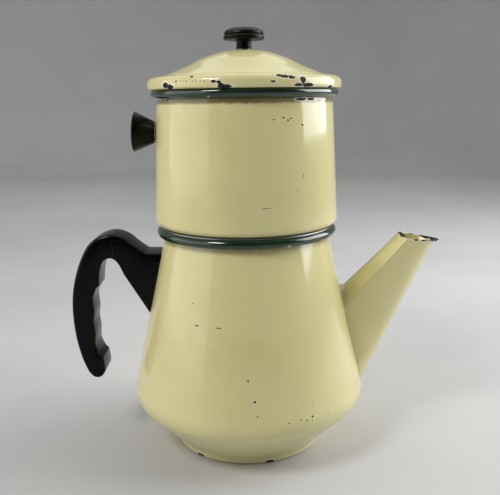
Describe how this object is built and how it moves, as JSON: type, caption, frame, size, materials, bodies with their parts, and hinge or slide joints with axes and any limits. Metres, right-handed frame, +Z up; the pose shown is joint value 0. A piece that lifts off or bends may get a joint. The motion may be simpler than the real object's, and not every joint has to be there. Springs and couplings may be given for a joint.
{
  "type": "drip coffee pot",
  "caption": "Enamelled drip coffee pot: a spouted pot with a moulded handle, a water chamber stacked on its mouth, an inner coffee basket and a domed lid.",
  "frame": {"origin": "centre of the pot's flat base, on the surface that it stands on", "axes": "+Z up along the axis of the pot, +X towards the spout, with the handle on the -X side"},
  "size_m": [0.2633, 0.166, 0.2926],
  "materials": {
    "cream_enamel": "glossy enamel, chipped at the edges",
    "green_enamel": "glossy enamel",
    "black_phenolic": "polished moulding",
    "spun_aluminium": "spun, satin",
    "plated_steel": "zinc plated"
  },
  "bodies": {
    "pot": {"pot_shell": "cream_enamel", "pot_rim_bead": "green_enamel", "spout": "cream_enamel", "handle_bracket": "plated_steel", "handle": "black_phenolic", "handle_washer_upper": "plated_steel", "handle_screw_upper": "plated_steel", "handle_washer_lower": "plated_steel", "handle_screw_lower": "plated_steel"},
    "basket": {"coffee_basket": "spun_aluminium"},
    "spreader": {"spreader_plate": "spun_aluminium", "spreader_knob": "spun_aluminium", "spreader_rivet": "spun_aluminium"},
    "chamber": {"chamber_shell": "cream_enamel", "chamber_rim_bead": "green_enamel", "chamber_knob": "black_phenolic", "chamber_knob_seat": "plated_steel", "chamber_knob_washer": "plated_steel", "chamber_knob_screw": "plated_steel"},
    "lid": {"lid_shell": "cream_enamel", "lid_knob": "black_phenolic", "lid_knob_seat": "plated_steel", "lid_knob_washer": "plated_steel", "lid_knob_screw": "plated_steel"}
  },
  "joints": [
    {"name": "basket_lift", "type": "slide", "parent": "pot", "child": "basket", "axis": [0, 0, 1], "range_m": [0, 0.07]},
    {"name": "spreader_lift", "type": "slide", "parent": "basket", "child": "spreader", "axis": [0, 0, 1], "range_m": [0, 0.008]},
    {"name": "chamber_lift", "type": "slide", "parent": "basket", "child": "chamber", "axis": [0, 0, 1], "range_m": [0, 0.03]},
    {"name": "lid_lift", "type": "slide", "parent": "chamber", "child": "lid", "axis": [0, 0, 1], "range_m": [0, 0.04]}
  ]
}
